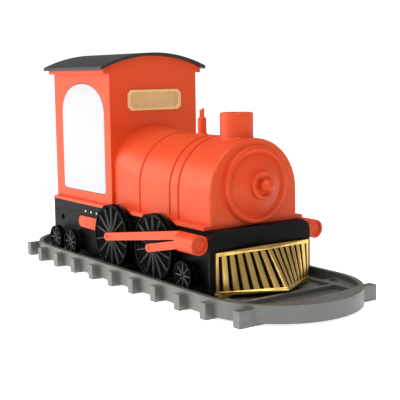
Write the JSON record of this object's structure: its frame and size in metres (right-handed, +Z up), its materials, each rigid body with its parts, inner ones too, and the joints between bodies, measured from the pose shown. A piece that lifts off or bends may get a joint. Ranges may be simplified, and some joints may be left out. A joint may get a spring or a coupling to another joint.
{
  "type": "toy train locomotive",
  "caption": "Toy steam locomotive with an arched cab, round boiler, chimney, spoked wheels, side rods and a brass cowcatcher, standing in an oval track base.",
  "frame": {"origin": "on the table, under the middle of the track base", "axes": "+X towards the locomotive's front, +Y to its left, +Z up"},
  "size_m": [0.277, 0.1, 0.1366],
  "materials": {
    "base_plastic": "matt",
    "black_plastic": "matt",
    "roof_plastic": "matt",
    "orange_plastic": "satin",
    "white_panel": "satin",
    "brass_trim": "satin",
    "plate_brass": "satin",
    "steel": "satin",
    "circuit_board": "gloss",
    "lamp_board_white": "gloss",
    "led_cap": "gloss",
    "lens": "gloss"
  },
  "bodies": {
    "base": {"track_base": "base_plastic"},
    "locomotive": {"chassis": "black_plastic", "chassis_cover": "black_plastic", "cover_screws": "steel", "shell_screws": "steel", "front_plate": "black_plastic", "cowcatcher": "brass_trim", "running_board": "orange_plastic", "cab_shell": "orange_plastic", "roof": "roof_plastic", "cornice_left": "orange_plastic", "cornice_right": "orange_plastic", "window_left": "white_panel", "window_right": "white_panel", "name_plate": "plate_brass", "boiler_shell": "orange_plastic", "smokebox_door": "orange_plastic", "door_boss": "orange_plastic", "door_knob": "orange_plastic", "chimney": "orange_plastic", "whistle": "orange_plastic", "whistle_pipes": "orange_plastic", "cylinder_left": "orange_plastic", "cylinder_right": "orange_plastic", "long_rod_left": "orange_plastic", "long_rod_right": "orange_plastic", "short_rod_left": "orange_plastic", "short_rod_right": "orange_plastic", "rod_pins_left": "orange_plastic", "rod_pins_right": "orange_plastic", "key_switches": "black_plastic", "control_board": "circuit_board", "indicator_lenses": "lens", "power_inlet": "black_plastic", "lamp_board": "lamp_board_white", "lamp_leds": "led_cap", "board_clips": "black_plastic"},
    "rear_driver_wheelset": {"rear_driver_left": "black_plastic", "rear_driver_right": "black_plastic", "rear_driver_axle": "steel"},
    "front_driver_wheelset": {"front_driver_left": "black_plastic", "front_driver_right": "black_plastic", "front_driver_axle": "steel"},
    "front_wheelset": {"front_wheel_left": "black_plastic", "front_wheel_right": "black_plastic", "front_axle": "steel"},
    "middle_wheelset": {"middle_wheel_left": "black_plastic", "middle_wheel_right": "black_plastic", "middle_axle": "steel"},
    "rear_wheelset": {"rear_wheel_left": "black_plastic", "rear_wheel_right": "black_plastic", "rear_axle": "steel"},
    "front_key": {"key_front": "orange_plastic"},
    "middle_key": {"key_middle": "orange_plastic"},
    "rear_key": {"key_rear": "orange_plastic"}
  },
  "joints": [
    {"name": "lift_off", "type": "slide", "parent": "base", "child": "locomotive", "axis": [0, 0, 1], "range_m": [0, 0.06]},
    {"name": "rear_driver_spin", "type": "hinge", "parent": "locomotive", "child": "rear_driver_wheelset", "pos_m": [-0.0172, 0, 0.02595], "axis": [0, 1, 0], "continuous": true},
    {"name": "front_driver_spin", "type": "hinge", "parent": "locomotive", "child": "front_driver_wheelset", "pos_m": [0.0299, 0, 0.02595], "axis": [0, 1, 0], "continuous": true},
    {"name": "front_spin", "type": "hinge", "parent": "locomotive", "child": "front_wheelset", "pos_m": [0.0597, 0, 0.01485], "axis": [0, 1, 0], "continuous": true},
    {"name": "middle_spin", "type": "hinge", "parent": "locomotive", "child": "middle_wheelset", "pos_m": [-0.0711, 0, 0.01485], "axis": [0, 1, 0], "continuous": true},
    {"name": "rear_spin", "type": "hinge", "parent": "locomotive", "child": "rear_wheelset", "pos_m": [-0.0922, 0, 0.01485], "axis": [0, 1, 0], "continuous": true},
    {"name": "front_key_press", "type": "slide", "parent": "locomotive", "child": "front_key", "axis": [0, 1, 0], "range_m": [0, 0.0008], "stiffness_N_per_m": 1500},
    {"name": "middle_key_press", "type": "slide", "parent": "locomotive", "child": "middle_key", "axis": [0, 1, 0], "range_m": [0, 0.0008], "stiffness_N_per_m": 1500},
    {"name": "rear_key_press", "type": "slide", "parent": "locomotive", "child": "rear_key", "axis": [0, 1, 0], "range_m": [0, 0.0008], "stiffness_N_per_m": 1500}
  ]
}
